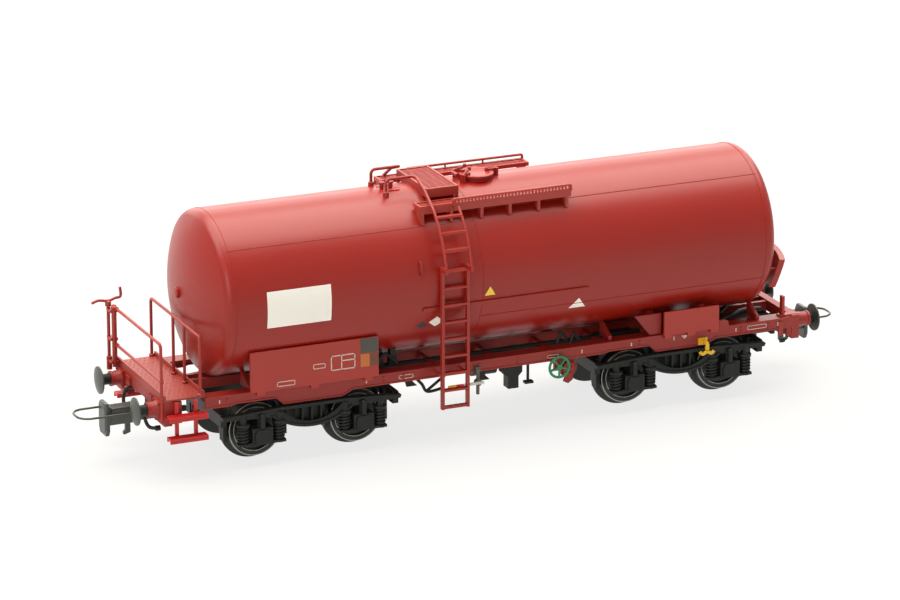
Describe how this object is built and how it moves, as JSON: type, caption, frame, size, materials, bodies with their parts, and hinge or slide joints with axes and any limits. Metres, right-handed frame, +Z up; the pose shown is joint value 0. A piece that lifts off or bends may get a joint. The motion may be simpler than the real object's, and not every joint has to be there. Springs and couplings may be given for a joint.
{
  "type": "model railway tank car",
  "caption": "Bogie tank car for a small-scale model railway: cylindrical tank on a channel frame, ladders, top walkway, brake platform, buffers and loop couplers.",
  "frame": {"origin": "middle of the car over its loop couplers, on the floor under the wheel flanges", "axes": "+X along the car, away from the brake platform; +Y towards the far side; +Z up"},
  "size_m": [0.16, 0.0382, 0.0506],
  "materials": {
    "red": "satin",
    "black": "matte",
    "wheel": "satin",
    "wire": "satin",
    "bright_red": "satin",
    "green": "satin"
  },
  "bodies": {
    "car": {"beam_left": "red", "beam_right": "red", "board_left_far": "red", "board_left_near": "red", "board_right_far": "red", "board_right_near": "red", "bolster_left": "red", "bolster_right": "red", "brake_column": "red", "brake_gear": "black", "buffers_left": "black", "buffers_right": "black", "centre_sill": "red", "coupler_pocket_left": "black", "coupler_pocket_right": "black", "crossbars": "red", "end_platform": "red", "front_rail": "red", "handwheel_far": "green", "handwheel_near": "green", "ladder_far": "red", "ladder_near": "red", "manhole": "red", "outlet": "red", "rear_rail": "red", "saddle_left": "red", "saddle_right": "red", "sill_far": "red", "sill_near": "red", "steps_far": "bright_red", "steps_near": "bright_red", "tank_barrel": "red", "tank_end_left": "red", "tank_end_right": "red", "top_handrails": "red", "top_platform": "red", "walkway_far": "red", "walkway_near": "red"},
    "bogie_left": {"bogie_left_core": "black", "bogie_left_far": "black", "bogie_left_near": "black", "brake_shoes_left": "black"},
    "bogie_right": {"bogie_right_core": "black", "bogie_right_far": "black", "bogie_right_near": "black", "brake_shoes_right": "black"},
    "wheelset_1": {"wheelset_1": "wheel"},
    "wheelset_2": {"wheelset_2": "wheel"},
    "wheelset_3": {"wheelset_3": "wheel"},
    "wheelset_4": {"wheelset_4": "wheel"},
    "coupler_left": {"coupler_left": "black"},
    "loop_left": {"loop_left": "wire"},
    "coupler_right": {"coupler_right": "black"},
    "loop_right": {"loop_right": "wire"}
  },
  "joints": [
    {"name": "bogie_left_swing", "type": "hinge", "parent": "car", "child": "bogie_left", "pos_m": [-0.037, 0, 0.0115], "axis": [0, 0, 1], "range_deg": [-7, 7]},
    {"name": "bogie_right_swing", "type": "hinge", "parent": "car", "child": "bogie_right", "pos_m": [0.0408, 0, 0.0115], "axis": [0, 0, 1], "range_deg": [-7, 7]},
    {"name": "wheelset_1_roll", "type": "hinge", "parent": "bogie_left", "child": "wheelset_1", "pos_m": [-0.04735, 0, 0.0063], "axis": [0, 1, 0], "continuous": true},
    {"name": "wheelset_2_roll", "type": "hinge", "parent": "bogie_left", "child": "wheelset_2", "pos_m": [-0.02665, 0, 0.0063], "axis": [0, 1, 0], "continuous": true},
    {"name": "wheelset_3_roll", "type": "hinge", "parent": "bogie_right", "child": "wheelset_3", "pos_m": [0.03045, 0, 0.0063], "axis": [0, 1, 0], "continuous": true},
    {"name": "wheelset_4_roll", "type": "hinge", "parent": "bogie_right", "child": "wheelset_4", "pos_m": [0.05115, 0, 0.0063], "axis": [0, 1, 0], "continuous": true},
    {"name": "coupler_left_swing", "type": "hinge", "parent": "car", "child": "coupler_left", "pos_m": [-0.0629, 0, 0.0087], "axis": [0, 0, 1], "range_deg": [-8, 8]},
    {"name": "loop_left_lift", "type": "hinge", "parent": "coupler_left", "child": "loop_left", "pos_m": [-0.0683, 0, 0.0103], "axis": [0, 1, 0], "range_deg": [0, 20]},
    {"name": "coupler_right_swing", "type": "hinge", "parent": "car", "child": "coupler_right", "pos_m": [0.0629, 0, 0.0087], "axis": [0, 0, 1], "range_deg": [-8, 8]},
    {"name": "loop_right_lift", "type": "hinge", "parent": "coupler_right", "child": "loop_right", "pos_m": [0.0683, 0, 0.0103], "axis": [0, -1, 0], "range_deg": [0, 20]}
  ]
}
